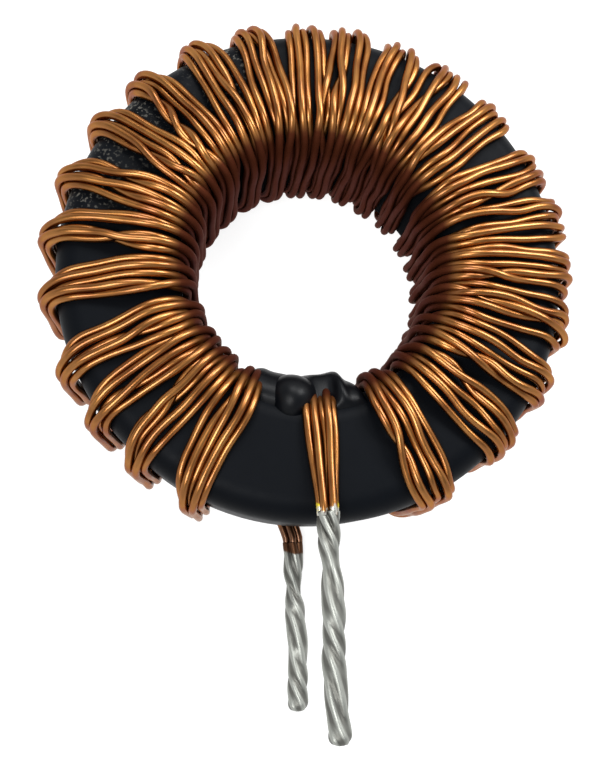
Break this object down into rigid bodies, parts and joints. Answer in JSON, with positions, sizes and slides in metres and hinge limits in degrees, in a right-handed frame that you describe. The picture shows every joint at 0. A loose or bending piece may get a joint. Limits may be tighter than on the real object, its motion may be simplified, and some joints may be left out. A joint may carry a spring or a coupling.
{
  "type": "toroidal inductor",
  "caption": "Toroidal power inductor: black coated ring core wound with a bundle of parallel enamelled copper strands, ending in two twisted tinned leads.",
  "frame": {"origin": "centre of the ring core, on its axis and halfway up its height", "axes": "+Z along the ring's axis, away from the surface that it lies on; both leads point along -Y, the finish lead from the upper face and the start lead from the lower face"},
  "size_m": [0.0518, 0.0679, 0.0171],
  "materials": {
    "core_coat": "semi-gloss black epoxy coat",
    "enamelled_copper": "copper under clear amber enamel",
    "tinned_copper": "bright solder",
    "black_glue": "glossy black"
  },
  "bodies": {
    "root": {"core": "core_coat", "strand_1": "enamelled_copper", "strand_2": "enamelled_copper", "strand_3": "enamelled_copper", "strand_4": "enamelled_copper", "strand_5": "enamelled_copper", "start_lead": "tinned_copper", "finish_lead": "tinned_copper", "glue_drop": "black_glue"}
  },
  "joints": []
}
